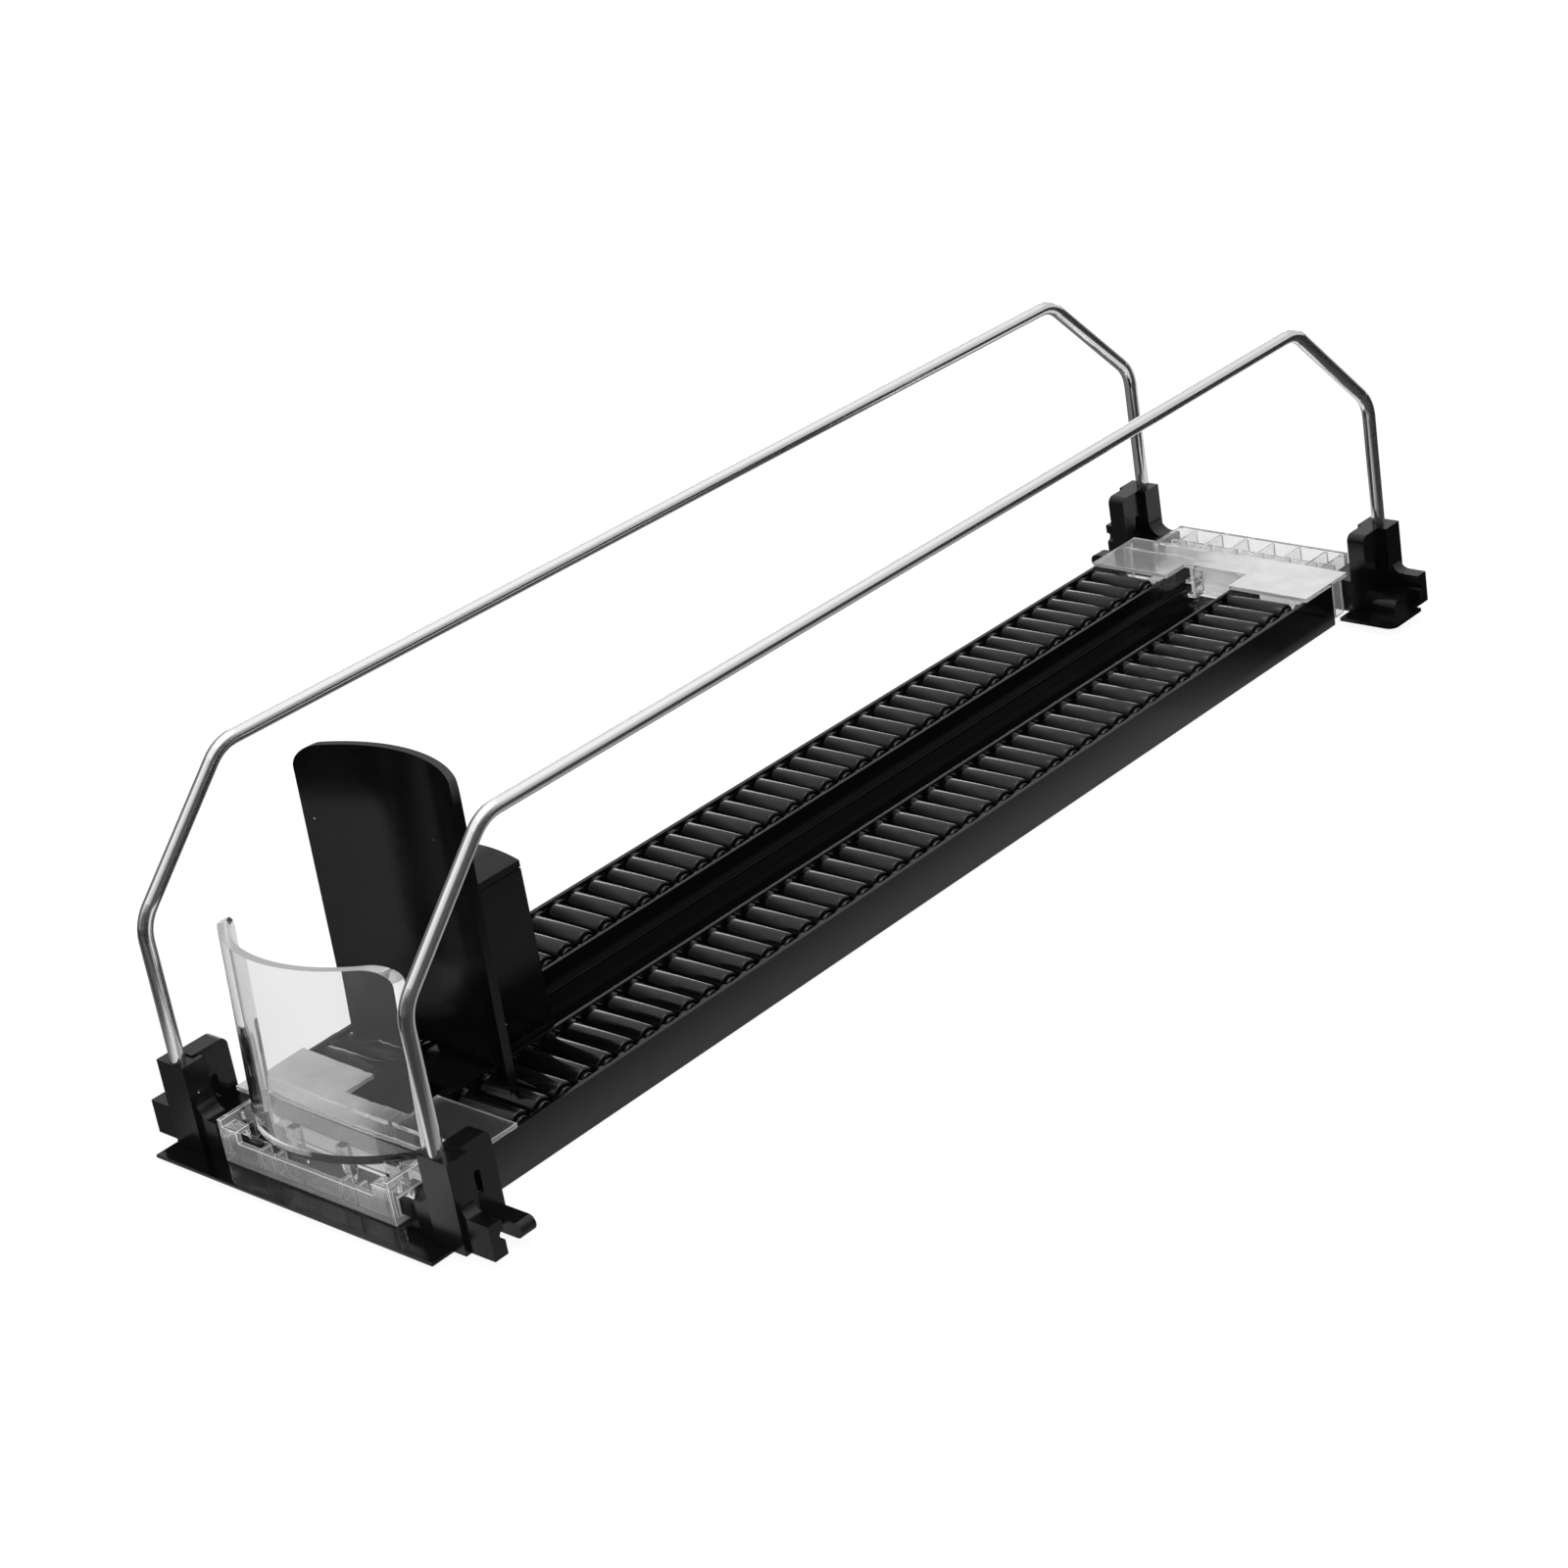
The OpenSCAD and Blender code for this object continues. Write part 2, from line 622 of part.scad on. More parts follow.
// Bent wire in the plane X = 0: two legs, two slanted parts and a top bar.
module bent_wire() {
    rise = wire_top - wire_bend;
    lean = atan(wire_slant / rise);
    low_trim = bend_radius * tan(lean / 2);
    high_trim = bend_radius * tan((90 - lean) / 2);
    slant_length = sqrt(rise * rise + wire_slant * wire_slant);
    straight_r = wire_r - bend_step;
    tuck = 0.4;
    for (s = [0, 1]) mirror([0, s, 0]) {
        translate([0, wire_y, leg_bottom + seat_gap])
            cylinder(r = straight_r, h = wire_bend - low_trim + tuck - leg_bottom - seat_gap);
        translate([0, wire_y - bend_radius, wire_bend - low_trim]) rotate([90, 0, 90])
            rotate_extrude(angle = lean) translate([bend_radius, 0]) circle(r = wire_r);
        translate([0, wire_y - (low_trim - tuck) * sin(lean), wire_bend + (low_trim - tuck) * cos(lean)])
            rotate([lean, 0, 0])
                cylinder(r = straight_r, h = slant_length - low_trim - high_trim + 2 * tuck);
        translate([0, wire_y - wire_slant - high_trim, wire_top - bend_radius]) rotate([90, 0, 90])
            rotate([0, 0, lean]) rotate_extrude(angle = 90 - lean) translate([bend_radius, 0]) circle(r = wire_r);
    }
    translate([0, 0, wire_top]) rotate([90, 0, 0])
        cylinder(r = straight_r, h = 2 * (wire_y - wire_slant - high_trim + tuck), center = true);
}

module left_wire() {
    color(steel) translate([-left_wire_x, 0, 0]) bent_wire();
}

module right_wire() {
    yaw = atan(right_wire_flare / (2 * wire_y));
    color(steel) translate([right_wire_x + right_wire_flare / 2, 0, 0]) rotate([0, 0, yaw]) bent_wire();
}

tray();
front_end_piece();
rear_end_piece();
front_stop();
front_base_plate();
pusher();
spring_strip();
front_left_bracket();
front_right_bracket();
rear_left_bracket();
rear_right_bracket();
left_wire();
right_wire();
roller_row(1);  // roller_row_01
roller_row(2);  // roller_row_02
roller_row(3);  // roller_row_03
roller_row(4);  // roller_row_04
roller_row(5);  // roller_row_05
roller_row(6);  // roller_row_06
roller_row(7);  // roller_row_07
roller_row(8);  // roller_row_08
roller_row(9);  // roller_row_09
roller_row(10);  // roller_row_10
roller_row(11);  // roller_row_11
roller_row(12);  // roller_row_12
roller_row(13);  // roller_row_13
roller_row(14);  // roller_row_14
roller_row(15);  // roller_row_15
roller_row(16);  // roller_row_16
roller_row(17);  // roller_row_17
roller_row(18);  // roller_row_18
roller_row(19);  // roller_row_19
roller_row(20);  // roller_row_20
roller_row(21);  // roller_row_21
roller_row(22);  // roller_row_22
roller_row(23);  // roller_row_23
roller_row(24);  // roller_row_24
roller_row(25);  // roller_row_25
roller_row(26);  // roller_row_26
roller_row(27);  // roller_row_27
roller_row(28);  // roller_row_28
roller_row(29);  // roller_row_29
roller_row(30);  // roller_row_30
roller_row(31);  // roller_row_31
roller_row(32);  // roller_row_32
roller_row(33);  // roller_row_33
roller_row(34);  // roller_row_34
roller_row(35);  // roller_row_35
roller_row(36);  // roller_row_36
roller_row(37);  // roller_row_37
roller_row(38);  // roller_row_38
roller_row(39);  // roller_row_39
roller_row(40);  // roller_row_40
roller_row(41);  // roller_row_41
roller_row(42);  // roller_row_42
roller_row(43);  // roller_row_43
roller_row(44);  // roller_row_44
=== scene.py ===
import bpy
import bmesh
import json
import math
from mathutils import Matrix, Vector

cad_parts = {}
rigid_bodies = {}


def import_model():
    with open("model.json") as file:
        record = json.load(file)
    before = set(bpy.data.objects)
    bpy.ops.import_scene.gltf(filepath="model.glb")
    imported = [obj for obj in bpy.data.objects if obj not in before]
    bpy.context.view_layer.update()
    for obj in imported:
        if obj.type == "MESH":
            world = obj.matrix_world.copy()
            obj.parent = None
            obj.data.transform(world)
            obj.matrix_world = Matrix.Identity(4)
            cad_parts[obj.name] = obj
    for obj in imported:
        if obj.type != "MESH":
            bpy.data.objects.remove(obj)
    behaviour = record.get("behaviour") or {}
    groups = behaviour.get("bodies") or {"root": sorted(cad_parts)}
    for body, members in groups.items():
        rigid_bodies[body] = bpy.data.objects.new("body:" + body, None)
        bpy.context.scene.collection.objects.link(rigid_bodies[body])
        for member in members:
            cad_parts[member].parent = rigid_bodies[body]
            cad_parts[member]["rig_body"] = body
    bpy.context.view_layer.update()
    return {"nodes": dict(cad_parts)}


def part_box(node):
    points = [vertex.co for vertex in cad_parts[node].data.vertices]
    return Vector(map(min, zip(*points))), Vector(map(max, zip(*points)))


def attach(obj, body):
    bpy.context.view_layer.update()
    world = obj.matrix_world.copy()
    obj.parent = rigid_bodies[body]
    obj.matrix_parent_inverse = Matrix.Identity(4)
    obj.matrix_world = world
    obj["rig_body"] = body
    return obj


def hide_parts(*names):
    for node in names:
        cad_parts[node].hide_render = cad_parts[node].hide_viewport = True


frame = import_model()
nodes = frame["nodes"]


# The studio. White paper under the organizer, a white backdrop, softboxes at the rear and
# overhead, and both long sides of the room left dark, so that gloss black keeps its depth.
bpy.context.scene.view_settings.view_transform = "Standard"

camera_data = bpy.data.cameras.new("studio camera")
camera_data.sensor_width = 36
camera_data.lens = 81.35
camera_data.clip_start = 0.05
camera_data.clip_end = 20
camera = bpy.data.objects.new("studio camera", camera_data)
bpy.context.scene.collection.objects.link(camera)
# It stands where the photograph was taken from, turned by the picture's own three directions.
camera_place = (0.6637, -0.6653, 0.4567)
right = Vector((0.7364395, 0.6587511, -0.1539607))
down = Vector((0.1778510, -0.4081050, -0.8954437))
ahead = Vector((-0.6527066, 0.6320580, -0.4177041))
turn = Matrix((right, -down, -ahead)).transposed().to_4x4()
camera.matrix_world = Matrix.Translation(camera_place) @ turn
bpy.context.scene.camera = camera


def linear(code):
    """An sRGB hex colour as linear red, green and blue, with an alpha of 1."""
    colour = []
    for start in (1, 3, 5):
        part = int(code[start:start + 2], 16) / 255
        colour.append(part / 12.92 if part <= 0.04045 else ((part + 0.055) / 1.055) ** 2.4)
    return (*colour, 1.0)


def add(tree, kind, settings=None, **links):
    """A node with its properties, socket values and links. A link called i2 goes to input 2."""
    node = tree.nodes.new(kind)
    for key, value in (settings or {}).items():
        if isinstance(key, str) and hasattr(node, key):
            setattr(node, key, value)
        else:
            node.inputs[key].default_value = value
    for key, source in links.items():
        numbered = key[0] == "i" and key[1:].isdigit()
        socket = node.inputs[int(key[1:]) if numbered else key.replace("_", " ")]
        tree.links.new(source, socket)
    return node


def material(name):
    """A new material of that name and its empty node tree."""
    stuff = bpy.data.materials.new(name)
    stuff.use_nodes = True
    stuff.node_tree.nodes.clear()
    return stuff, stuff.node_tree


def sight(tree):
    """1 for rays that see the studio directly or through clear plastic, and 1 for mirrored rays."""
    path = add(tree, "ShaderNodeLightPath")
    through = path.outputs["Is Transmission Ray"]
    seen = add(tree, "ShaderNodeMath", {"operation": "MAXIMUM"},
               i0=path.outputs["Is Camera Ray"], i1=through)
    mirrored = add(tree, "ShaderNodeMath", {"operation": "SUBTRACT", "use_clamp": True},
                   i0=path.outputs["Is Glossy Ray"], i1=through)
    # What is mirrored behind clear plastic is a quarter less contrasty.
    behind = add(tree, "ShaderNodeMath", {"operation": "GREATER_THAN", 1: 0.5},
                 i0=path.outputs["Transmission Depth"])
    weight = add(tree, "ShaderNodeMath", {"operation": "MULTIPLY_ADD", 1: -0.25, 2: 1.0},
                 i0=behind.outputs[0])
    share = add(tree, "ShaderNodeMath", {"operation": "MULTIPLY"},
                i0=mirrored.outputs[0], i1=weight.outputs[0])
    return seen.outputs[0], share.outputs[0]


world = bpy.data.worlds.new("white studio")
bpy.context.scene.world = world
world.use_nodes = True
sky = world.node_tree
sky.nodes.clear()
where = add(sky, "ShaderNodeTexCoord")
seen, reflected = sight(sky)
# Reflections show the room brighter overhead, and dark low at the front and on both sides.
apart = add(sky, "ShaderNodeSeparateXYZ", i0=where.outputs["Generated"])
level = add(sky, "ShaderNodeMapRange",
            {"From Min": 0.45, "From Max": 0.75, "To Min": 0.62, "To Max": 1.0},
            Value=apart.outputs["Z"])
# Each row: the dark side's direction, how far off it the dark starts and is full, and what is left.
for toward, start, full, left in (((0.983, -0.181, 0.0), 0.52, 0.85, 0.08),
                                  ((-0.97, -0.243, 0.0), 0.6, 0.9, 0.2),
                                  ((0.25, -0.968, 0.0), 0.55, 0.85, 0.1)):
    facing = add(sky, "ShaderNodeVectorMath", {"operation": "DOT_PRODUCT", 1: toward},
                 i0=where.outputs["Generated"])
    dark = add(sky, "ShaderNodeMapRange",
               {"From Min": start, "From Max": full, "To Min": 1.0, "To Max": left},
               Value=facing.outputs["Value"])
    level = add(sky, "ShaderNodeMath", {"operation": "MULTIPLY"},
                i0=level.outputs[0], i1=dark.outputs[0])
plain = add(sky, "ShaderNodeMapRange", {"To Min": 0.4, "To Max": 1.0}, Value=seen)
power = add(sky, "ShaderNodeMix", {"data_type": "FLOAT"}, i0=reflected,
            i2=plain.outputs[0], i3=level.outputs[0])
glow = add(sky, "ShaderNodeBackground", {"Color": linear("#ffffff")}, Strength=power.outputs[0])
add(sky, "ShaderNodeOutputWorld", Surface=glow.outputs[0])


def lamp(name, place, target, size, watts):
    """A softbox that faces the target."""
    data = bpy.data.lights.new(name, "AREA")
    data.shape = "RECTANGLE"
    data.size, data.size_y = size
    data.energy = watts
    item = bpy.data.objects.new(name, data)
    bpy.context.scene.collection.objects.link(item)
    aim = Vector(target) - Vector(place)
    turned = aim.to_track_quat("-Z", "Y").to_matrix().to_4x4()
    item.matrix_world = Matrix.Translation(place) @ turned
    item.visible_camera = False
    return item


lamp("rear strip softbox", (-1.3, 1.5, 0.2), (0, 0, 0.05), (1.8, 0.28), 4.5)
lamp("overhead softbox", (0.1, 0.0, 1.5), (0, 0, 0), (1.0, 1.0), 9)
# A fill beside the camera, too weak and wide to show in the gloss.
lamp("fill softbox", (0.9, -0.9, 0.7), (0, 0, 0), (0.8, 0.8), 11).visible_glossy = False

# The paper. Gloss shows it bright beside the organizer and falling off to both sides.
# It lies 0.4 mm under the tray.
half, under = 6, -0.0004
corners = [(-half, -half, under), (half, -half, under), (half, half, under), (-half, half, under)]
floor_mesh = bpy.data.meshes.new("studio floor")
floor_mesh.from_pydata(corners, [], [(0, 1, 2, 3)])
floor = bpy.data.objects.new("studio floor", floor_mesh)
bpy.context.scene.collection.objects.link(floor)
paper, tree = material("white paper")
seen, reflected = sight(tree)
spot = add(tree, "ShaderNodeTexCoord")
across = add(tree, "ShaderNodeSeparateXYZ", i0=spot.outputs["Object"])
# Before the front the bright part lies 20 mm farther left.
shift = add(tree, "ShaderNodeMapRange",
            {"From Min": -0.235, "From Max": -0.215, "To Min": 0.02, "To Max": 0.0},
            Value=across.outputs["Y"])
moved = add(tree, "ShaderNodeMath", {"operation": "ADD"},
            i0=across.outputs["X"], i1=shift.outputs[0])
# The ramp covers 200 mm on each side of the middle.
ramp_half = 0.2
place = add(tree, "ShaderNodeMapRange", {"From Min": -ramp_half, "From Max": ramp_half},
            Value=moved.outputs[0])
fall = add(tree, "ShaderNodeValToRGB", Fac=place.outputs[0])
stops = fall.color_ramp.elements
for x, shade in ((-0.058, 0.14), (-0.046, 0.4), (-0.03, 0.62), (0.046, 0.75),
                 (0.062, 0.34), (0.105, 0.3), (0.15, 0.03)):
    stop = stops.new((x + ramp_half) / (2 * ramp_half))
    stop.color = (shade, shade, shade, 1)
stops.remove(stops[-1])
stops.remove(stops[0])
# Right of the organizer it also falls off to the rear and before the front.
rear = add(tree, "ShaderNodeMapRange",
           {"From Min": 0.11, "From Max": 0.17, "To Min": 1.0, "To Max": 0.1},
           Value=across.outputs["Y"])
front = add(tree, "ShaderNodeMapRange",
            {"From Min": -0.255, "From Max": -0.235, "To Min": 0.15, "To Max": 1.0},
            Value=across.outputs["Y"])
ends = add(tree, "ShaderNodeMath", {"operation": "MULTIPLY"},
           i0=rear.outputs[0], i1=front.outputs[0])
beside = add(tree, "ShaderNodeMapRange", {"From Min": 0.042, "From Max": 0.048},
             Value=across.outputs["X"])
window = add(tree, "ShaderNodeMix", {"data_type": "FLOAT", 2: 1.0},
             i0=beside.outputs[0], i3=ends.outputs[0])
# Nearer to the camera it falls off over its whole width.
near = add(tree, "ShaderNodeMapRange",
           {"From Min": -0.3, "From Max": -0.265, "To Min": 0.1, "To Max": 1.0},
           Value=across.outputs["Y"])
sheet = add(tree, "ShaderNodeMath", {"operation": "MULTIPLY"},
            i0=window.outputs[0], i1=near.outputs[0])
level = add(tree, "ShaderNodeMath", {"operation": "MULTIPLY"},
            i0=fall.outputs["Color"], i1=sheet.outputs[0])
mirrored = add(tree, "ShaderNodeEmission", Strength=level.outputs[0])
matt = add(tree, "ShaderNodeBsdfDiffuse", {"Color": linear("#f4f4f4")})
bright = add(tree, "ShaderNodeEmission", {"Strength": 1.06})
# Seen directly the paper is plain white. Near the organizer a seventh of it is lit paper, which
# keeps a soft shadow. Farther off, plain white is quicker to render.
oval = (2.2, 1.0, 0.0)
flat = add(tree, "ShaderNodeVectorMath", {"operation": "MULTIPLY", 1: oval},
           i0=spot.outputs["Object"])
away = add(tree, "ShaderNodeVectorMath", {"operation": "LENGTH"}, i0=flat.outputs[0])
white = add(tree, "ShaderNodeMapRange",
            {"From Min": 0.25, "From Max": 0.31, "To Min": 0.86, "To Max": 1.0},
            Value=away.outputs["Value"])
plain_share = add(tree, "ShaderNodeMath", {"operation": "MULTIPLY"},
                  i0=seen, i1=white.outputs[0])
lit = add(tree, "ShaderNodeMixShader",
          i0=plain_share.outputs[0], i1=matt.outputs[0], i2=bright.outputs[0])
both = add(tree, "ShaderNodeMixShader", i0=reflected, i1=lit.outputs[0], i2=mirrored.outputs[0])
add(tree, "ShaderNodeOutputMaterial", Surface=both.outputs[0])
floor_mesh.materials.append(paper)


# The tray. One long injection moulding in gloss black ABS: floor, side walls that are its
# runners, the pusher's channel, and four comb rails that carry the rollers.
def black_plastic(name, tone, roughness, index=1.45, dust=0.0):
    """Black plastic from a polished mould, its gloss a little uneven, with a few specks of dust."""
    stuff, tree = material(name)
    coords = add(tree, "ShaderNodeTexCoord")
    # The polish varies over patches about 14 mm wide.
    patch = add(tree, "ShaderNodeTexNoise", {"Scale": 1 / 0.014, "Detail": 1.0},
                Vector=coords.outputs["Object"])
    skin = add(tree, "ShaderNodeMapRange", {"To Min": roughness * 0.8, "To Max": roughness * 1.2},
               Value=patch.outputs[0])
    # Dust lies as specks 0.4 mm wide, in that share of cells of 6 mm which dust gives.
    cell, speck_half = 0.006, 0.000216
    cells = add(tree, "ShaderNodeTexVoronoi", {"Scale": 1 / cell}, Vector=coords.outputs["Object"])
    small = add(tree, "ShaderNodeMath", {"operation": "LESS_THAN", 1: speck_half / cell},
                i0=cells.outputs["Distance"])
    chosen = add(tree, "ShaderNodeSeparateColor", i0=cells.outputs["Color"])
    rare = add(tree, "ShaderNodeMath", {"operation": "LESS_THAN", 1: dust}, i0=chosen.outputs[0])
    speck = add(tree, "ShaderNodeMath", {"operation": "MULTIPLY"},
                i0=small.outputs[0], i1=rare.outputs[0])
    colour = add(tree, "ShaderNodeMix",
                 {"data_type": "RGBA", 6: linear(tone), 7: linear("#b4b4b4")},
                 i0=speck.outputs[0])
    surface = add(tree, "ShaderNodeBsdfPrincipled", {"IOR": index}, Base_Color=colour.outputs[2],
                  Roughness=skin.outputs[0])
    add(tree, "ShaderNodeOutputMaterial", Surface=surface.outputs[0])
    return stuff


def baked(piece):
    """The piece's modifiers turned into plain mesh."""
    finished = piece.evaluated_get(bpy.context.evaluated_depsgraph_get())
    piece.data = bpy.data.meshes.new_from_object(finished)
    piece.modifiers.clear()


def eased(node, finish, width=0.0003, segments=2, edge=None):
    """A copy of a moulded piece with the small edge radius of its mould, in place of the node."""
    source = nodes[node]
    shape = source.data.copy()
    shape.attributes.remove(shape.attributes["custom_normal"])
    build = bmesh.new()
    build.from_mesh(shape)
    bmesh.ops.remove_doubles(build, verts=build.verts, dist=2e-6)
    # The flat faces' triangles are joined, so that only true edges get the radius.
    bmesh.ops.dissolve_limit(build, angle_limit=math.radians(1),
                             verts=build.verts, edges=build.edges)
    build.to_mesh(shape)
    build.free()
    shape.materials.clear()
    shape.materials.append(finish)
    if edge:
        shape.materials.append(edge)
    piece = bpy.data.objects.new(node + "_moulding", shape)
    bpy.context.scene.collection.objects.link(piece)
    soft = piece.modifiers.new("mould radius", "BEVEL")
    soft.width = width
    soft.segments = segments
    soft.limit_method = "ANGLE"
    soft.angle_limit = math.radians(32)
    soft.material = 1 if edge else -1
    baked(piece)
    # The wide faces set the normals, so that they stay true up to the radius.
    piece.data.shade_smooth()
    piece.data.set_sharp_from_angle(angle=math.radians(40))
    piece.modifiers.new("true faces", "WEIGHTED_NORMAL").keep_sharp = True
    baked(piece)
    piece.data.name = node + " moulding"
    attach(piece, source["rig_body"])
    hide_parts(node)
    return piece


gloss_black = black_plastic("gloss black ABS", "#09090a", 0.14)
eased("tray", gloss_black, width=0.0002)


# The rollers. Each is a turned black ABS barrel with a step and a journal at each end,
# lying loose in the comb rails. The left and the right one of a row share an axis.
roller_black = black_plastic("turned black ABS", "#070708", 0.17, index=1.42)
first_low, first_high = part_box("roller_row_01")
second_low, second_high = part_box("roller_row_02")
barrel_r = (first_high.z - first_low.z) / 2
axle_z = (first_high.z + first_low.z) / 2
first_y = (first_high.y + first_low.y) / 2
row_pitch = (second_high.y + second_low.y) / 2 - first_y
journal_end = first_high.x
barrel_half = 0.0103
collar_half = 0.0115
journal_half = 0.01325
collar_r = 0.0024
journal_r = 0.00135
# The journal's and the collar's edges are broken by 0.1 mm, and the barrel's are rounded by 0.5 mm.
broken = 0.0001
rounding = 0.0005
shoulder = 0.00015
track_x = journal_end - journal_half
half_outline = ((-journal_half, 0.0), (-journal_half, journal_r - broken),
                (-journal_half + broken, journal_r), (-collar_half, journal_r),
                (-collar_half, collar_r - broken), (-collar_half + broken, collar_r),
                (-barrel_half, collar_r), (-barrel_half, barrel_r - rounding),
                (-barrel_half + shoulder, barrel_r - shoulder),
                (-barrel_half + rounding, barrel_r))
outline = half_outline + tuple((-x, r) for x, r in reversed(half_outline))
turns = 40
verts, faces = [], []
for x, r in outline:
    for k in range(turns):
        around = 2 * math.pi * k / turns
        verts.append((x, r * math.cos(around), r * math.sin(around)))
for j in range(len(outline) - 1):
    for k in range(turns):
        faces.append((j * turns + k, j * turns + (k + 1) % turns,
                      (j + 1) * turns + (k + 1) % turns, (j + 1) * turns + k))
barrel_mesh = bpy.data.meshes.new("one roller")
barrel_mesh.from_pydata(verts, [], faces)
build = bmesh.new()
build.from_mesh(barrel_mesh)
bmesh.ops.remove_doubles(build, verts=build.verts, dist=1e-6)
bmesh.ops.recalc_face_normals(build, faces=build.faces)
build.to_mesh(barrel_mesh)
build.free()
barrel_mesh.shade_smooth()
barrel_mesh.set_sharp_from_angle(angle=math.radians(50))
barrel = bpy.data.objects.new("one roller", barrel_mesh)

# One tree lays a row: a roller at each end of a line across the tray, on the row's axle.
row_tree = bpy.data.node_groups.new("roller row", "GeometryNodeTree")
sockets = {}
for label, kind in (("Roller", "NodeSocketObject"), ("Track distance", "NodeSocketFloat"),
                    ("Row place", "NodeSocketFloat"), ("Axle height", "NodeSocketFloat"),
                    ("Turn", "NodeSocketFloat"), ("Finish", "NodeSocketMaterial")):
    socket = row_tree.interface.new_socket(label, in_out="INPUT", socket_type=kind)
    sockets[label] = socket.identifier
row_tree.interface.new_socket("Geometry", in_out="OUTPUT", socket_type="NodeSocketGeometry")
given = add(row_tree, "NodeGroupInput")
ends = add(row_tree, "GeometryNodeMeshLine", {"mode": "END_POINTS", "Count": 2})
near = add(row_tree, "ShaderNodeCombineXYZ", X=given.outputs["Track distance"],
           Y=given.outputs["Row place"], Z=given.outputs["Axle height"])
minus = add(row_tree, "ShaderNodeMath", {"operation": "MULTIPLY", 1: -2.0},
            i0=given.outputs["Track distance"])
reach = add(row_tree, "ShaderNodeCombineXYZ", X=minus.outputs[0])
far = add(row_tree, "ShaderNodeVectorMath", {"operation": "ADD"},
          i0=near.outputs[0], i1=reach.outputs[0])
row_tree.links.new(near.outputs[0], ends.inputs["Start Location"])
row_tree.links.new(far.outputs[0], ends.inputs["Offset"])
shape = add(row_tree, "GeometryNodeObjectInfo", i0=given.outputs["Roller"])
spin = add(row_tree, "ShaderNodeCombineXYZ", X=given.outputs["Turn"])
copies = add(row_tree, "GeometryNodeInstanceOnPoints", Points=ends.outputs[0],
             Instance=shape.outputs["Geometry"], Rotation=spin.outputs[0])
solid = add(row_tree, "GeometryNodeRealizeInstances", i0=copies.outputs[0])
coated = add(row_tree, "GeometryNodeSetMaterial",
             Geometry=solid.outputs[0], Material=given.outputs["Finish"])
add(row_tree, "NodeGroupOutput", i0=coated.outputs[0])

rows = 44
# Loose rollers stand at any angle, so each row is turned by 2.4 rad more than the one before.
turn_step = 2.4
for row in range(1, rows + 1):
    node = f"roller_row_{row:02d}"
    pair = bpy.data.objects.new(node + "_rollers", bpy.data.meshes.new(node))
    bpy.context.scene.collection.objects.link(pair)
    maker = pair.modifiers.new("roller row", "NODES")
    maker.node_group = row_tree
    maker[sockets["Roller"]] = barrel
    maker[sockets["Track distance"]] = track_x
    maker[sockets["Row place"]] = first_y + (row - 1) * row_pitch
    maker[sockets["Axle height"]] = axle_z
    maker[sockets["Turn"]] = row * turn_step
    maker[sockets["Finish"]] = roller_black
    baked(pair)
    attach(pair, nodes[node]["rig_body"])
    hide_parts(node)


# The two end pieces. Clear polycarbonate mouldings pushed over the tray's ends, with a
# cover plate over the last rollers. The plates are a little hazy, and painted light makes
# each one lighter toward one side.
def clear_plastic(name, tone, roughness, haze_and_painted_light, gloss=0.8):
    """Clear polycarbonate mixed with plain white, a little milky where the white share is small and
    painted light where it is large, with a polish that varies over patches of 12 mm.
    """
    stuff, tree = material(name)
    coords = add(tree, "ShaderNodeTexCoord")
    patch = add(tree, "ShaderNodeTexNoise", {"Scale": 1 / 0.012, "Detail": 1.0},
                Vector=coords.outputs["Object"])
    skin = add(tree, "ShaderNodeMapRange", {"To Min": roughness * 0.5, "To Max": roughness * 1.5},
               Value=patch.outputs[0])
    surface = add(tree, "ShaderNodeBsdfPrincipled",
                  {"Base Color": linear(tone), "IOR": 1.585, "Transmission Weight": 1.0,
                   "Specular IOR Level": gloss}, Roughness=skin.outputs[0])
    white_diffuse = add(tree, "ShaderNodeBsdfDiffuse", {"Color": linear("#fafafa")})
    both = add(tree, "ShaderNodeMixShader", {0: haze_and_painted_light}, i1=surface.outputs[0], i2=white_diffuse.outputs[0])
    add(tree, "ShaderNodeOutputMaterial", Surface=both.outputs[0])
    return stuff, tree, coords, both


body_pc = clear_plastic("moulded polycarbonate", "#fafafa", 0.02, 0.13)[0]

# The cover plates' material, with painted light on one side of each plate.
hazy_lit_pc, tree, coords, both = clear_plastic("hazy polycarbonate with painted light", "#fafafa", 0.1, 0.5)
apart = add(tree, "ShaderNodeSeparateXYZ", i0=coords.outputs["Object"])
# Both pieces are one moulding, turned half round. Painted light: the haze grows toward the right
# of the rear plate and toward the left of the front plate, so that side shows lighter.
side = add(tree, "ShaderNodeMath", {"operation": "MULTIPLY"},
           i0=apart.outputs["X"], i1=apart.outputs["Y"])
lit_side = add(tree, "ShaderNodeMapRange",
           {"From Min": -0.003, "From Max": 0.003, "To Min": 0.02, "To Max": 0.66},
           Value=side.outputs[0])
# The rear one is a little hazier all over, by 0.6 for each metre behind the middle.
rear = add(tree, "ShaderNodeMath", {"operation": "MULTIPLY_ADD", 1: 0.6, 2: 0.0, "use_clamp": True},
           i0=apart.outputs["Y"])
amount = add(tree, "ShaderNodeMath", {"operation": "ADD"}, i0=lit_side.outputs[0], i1=rear.outputs[0])
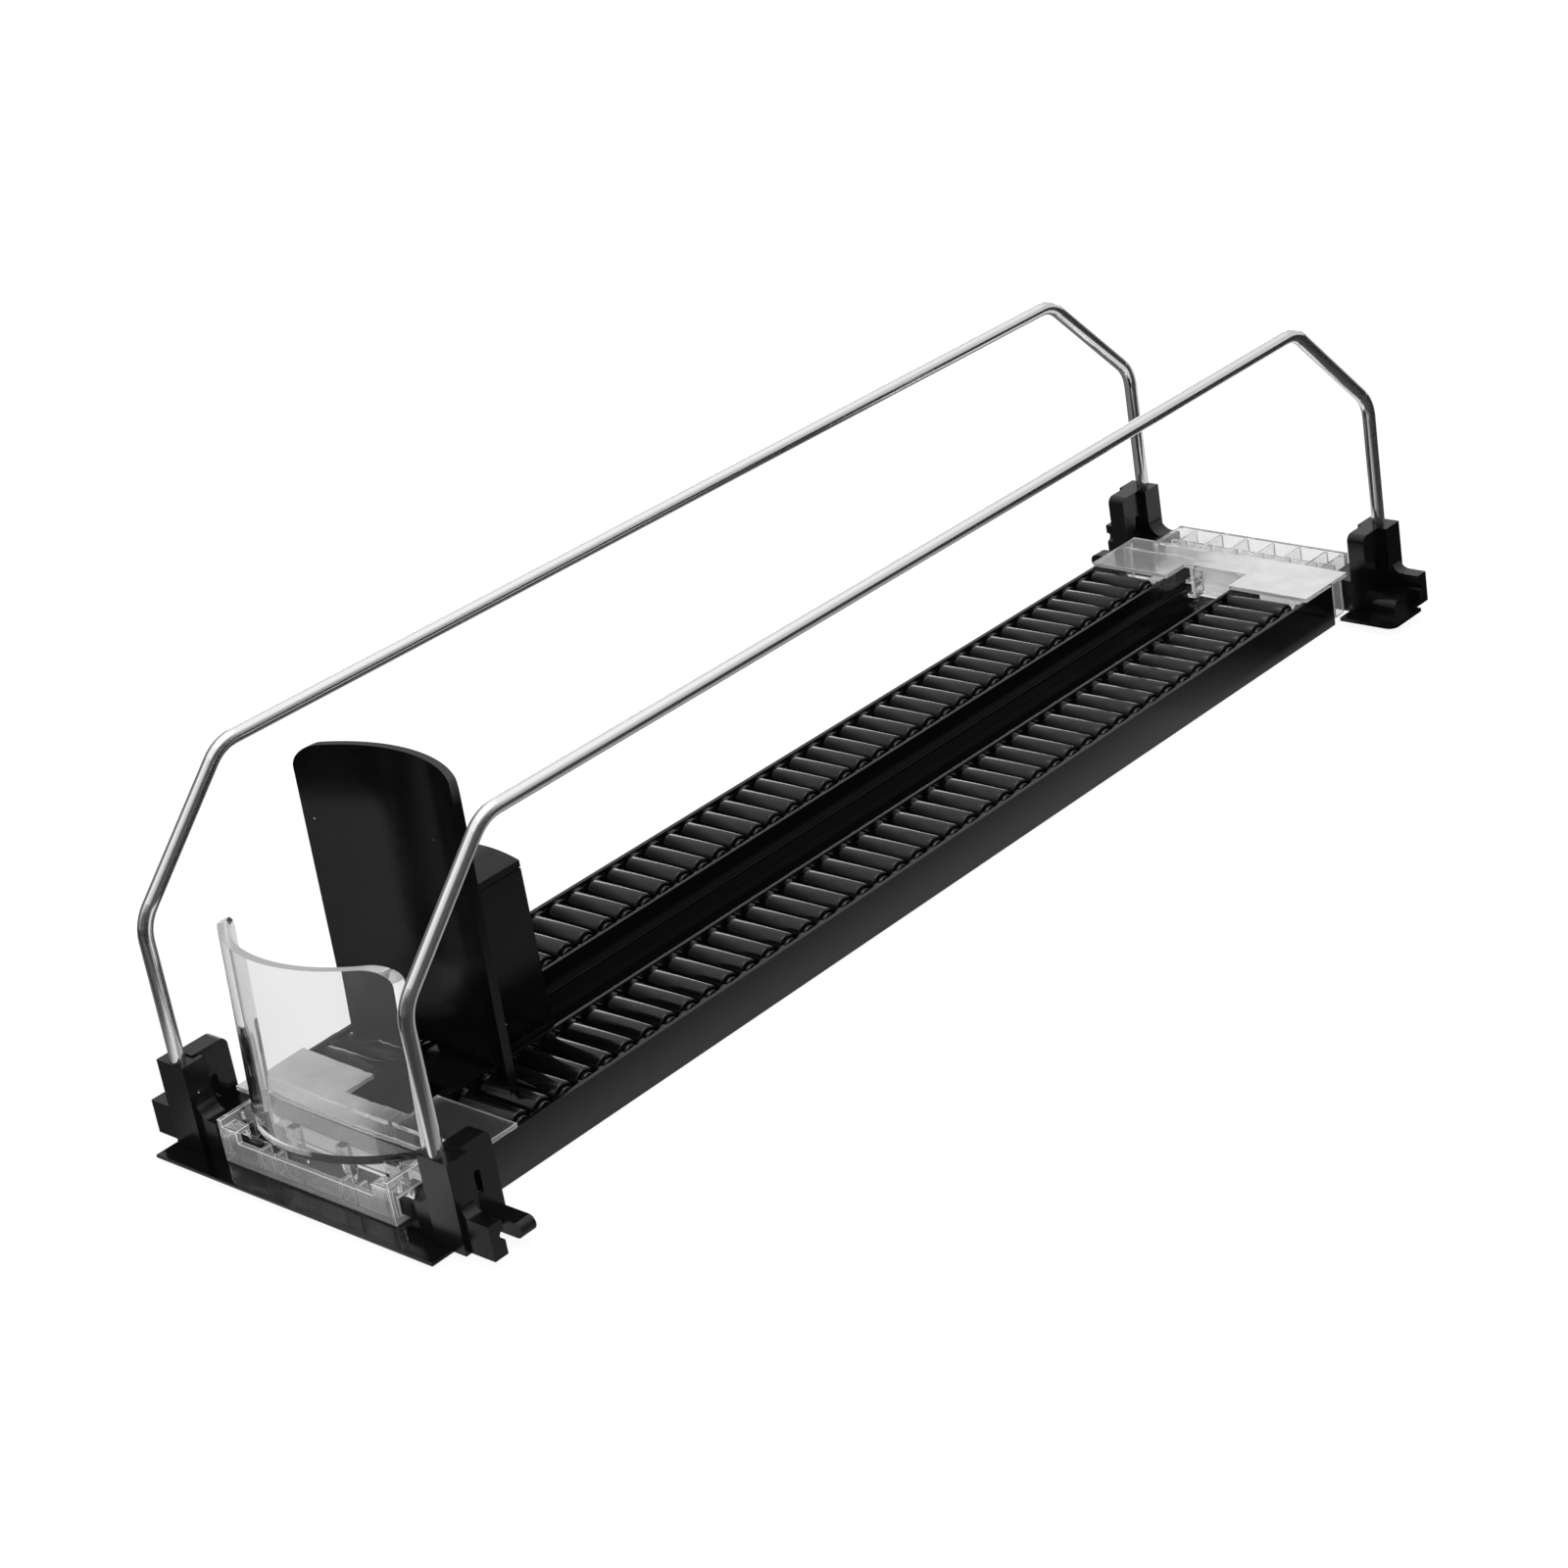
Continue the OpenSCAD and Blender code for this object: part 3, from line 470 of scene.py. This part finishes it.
# The haze is uneven over patches of 9 mm.
cloud = add(tree, "ShaderNodeTexNoise", {"Scale": 1 / 0.009, "Detail": 2.0},
            Vector=coords.outputs["Object"])
uneven = add(tree, "ShaderNodeMapRange", {"To Min": 0.75, "To Max": 1.25}, Value=cloud.outputs[0])
haze_and_painted_light = add(tree, "ShaderNodeMath", {"operation": "MULTIPLY", "use_clamp": True},
           i0=amount.outputs[0], i1=uneven.outputs[0])
tree.links.new(haze_and_painted_light.outputs[0], both.inputs[0])

# Painted highlight: the edges' radii get a near-white matt finish, so they show as bright lines.
edge_highlight_pc = clear_plastic("polycarbonate edge with painted highlight", "#ffffff", 0.3, 0.93)[0]

# The cover plate is the top 2 mm, up to 22.5 mm from the inner end.
plate_depth = 0.002
plate_reach = 0.0225
for name in ("front_end_piece", "rear_end_piece"):
    cover = eased(name, body_pc, width=0.0004, edge=edge_highlight_pc)
    cover.data.materials.append(hazy_lit_pc)
    low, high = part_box(name)
    inner_y = min(abs(low.y), abs(high.y))
    for face in cover.data.polygons:
        level_face = abs(face.normal.z) > 0.9 and face.center.z > high.z - plate_depth
        if level_face and abs(face.center.y) < inner_y + plate_reach:
            face.material_index = 2


# The front stop. A bent sheet of clear polycarbonate with a flange, two pins and two hooks,
# pressed into the front end piece so that the first can shows and stays in.
sheet_pc = clear_plastic("polished polycarbonate", "#ededed", 0.008, 0.005, 0.35)[0]
# Painted highlight: a whitish matt rim finish, so that the sheet's edges show as bright lines.
rim_highlight_pc = clear_plastic("polycarbonate rim with painted highlight", "#ededed", 0.15, 0.4)[0]
stop = eased("front_stop", sheet_pc, width=0.0003, edge=rim_highlight_pc)
# The narrow faces round the sheet get that painted highlight too. Below 20 mm lie its pins and
# hooks.
bend_r = 0.043
sheet_start = 0.02
low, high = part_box("front_stop")
for face in stop.data.polygons:
    outward = Vector((face.center.x, face.center.y - low.y - bend_r, 0)).normalized()
    if face.center.z > low.z + sheet_start and abs(face.normal.dot(outward)) < 0.5:
        face.material_index = 1


# The base plate. A black ABS strip under the front brackets that steadies the tray's front.
eased("front_base_plate", gloss_black, width=0.0003)


# The pusher. A curved plate, its spring housing and the carriage, one moulding in black ABS
# with a satin skin, held down in the channel by the tray's lips.
satin_black = black_plastic("satin black ABS", "#080809", 0.2, index=1.34, dust=0.22)
eased("pusher", satin_black, width=0.0004)


# The spring strip. Rolled steel that lies in the channel from its anchor at the front to the
# pusher's housing, where the real one winds up.
rolled_steel, tree = material("rolled spring steel")
coords = add(tree, "ShaderNodeTexCoord")
# Rolling lines run along the strip, about 0.4 mm apart across it.
stretched = add(tree, "ShaderNodeMapping", {"Scale": (1 / 0.0004, 1 / 0.05, 1 / 0.0004)},
                i0=coords.outputs["Object"])
lines = add(tree, "ShaderNodeTexNoise", {"Scale": 1.0, "Detail": 2.0}, Vector=stretched.outputs[0])
skin = add(tree, "ShaderNodeMapRange", {"To Min": 0.2, "To Max": 0.38}, Value=lines.outputs[0])
surface = add(tree, "ShaderNodeBsdfPrincipled", {"Base Color": linear("#b9b9bc"), "Metallic": 1.0},
              Roughness=skin.outputs[0])
add(tree, "ShaderNodeOutputMaterial", Surface=surface.outputs[0])
nodes["spring_strip"].data.materials.clear()
nodes["spring_strip"].data.materials.append(rolled_steel)


# The four brackets. Black ABS feet with a post for the wire's leg, a tall rib, and a hook or a
# socket that couples to the next tray. Their tongues slide in the end pieces.
bracket_black = black_plastic("bracket black ABS", "#09090a", 0.2, index=1.45, dust=0.05)
for end in ("front", "rear"):
    for hand in ("left", "right"):
        eased(f"{end}_{hand}_bracket", bracket_black, width=0.0007, segments=3)


# The two side rails. Steel wire, 4.2 mm thick, bent cold and chrome plated, with its legs
# pressed into the brackets' posts.
chrome, tree = material("bright chrome plate")
coords = add(tree, "ShaderNodeTexCoord")
# Polishing leaves the plate a little uneven over about 10 mm.
buffed = add(tree, "ShaderNodeTexNoise", {"Scale": 1 / 0.01, "Detail": 1.0},
             Vector=coords.outputs["Object"])
skin = add(tree, "ShaderNodeMapRange", {"To Min": 0.06, "To Max": 0.14}, Value=buffed.outputs[0])
# The plate has a fine haze, which a little plain white stands for.
surface = add(tree, "ShaderNodeBsdfPrincipled", {"Base Color": linear("#efeff0"), "Metallic": 0.96},
              Roughness=skin.outputs[0])
add(tree, "ShaderNodeOutputMaterial", Surface=surface.outputs[0])
for name in ("left_wire", "right_wire"):
    nodes[name].data.materials.clear()
    nodes[name].data.materials.append(chrome)
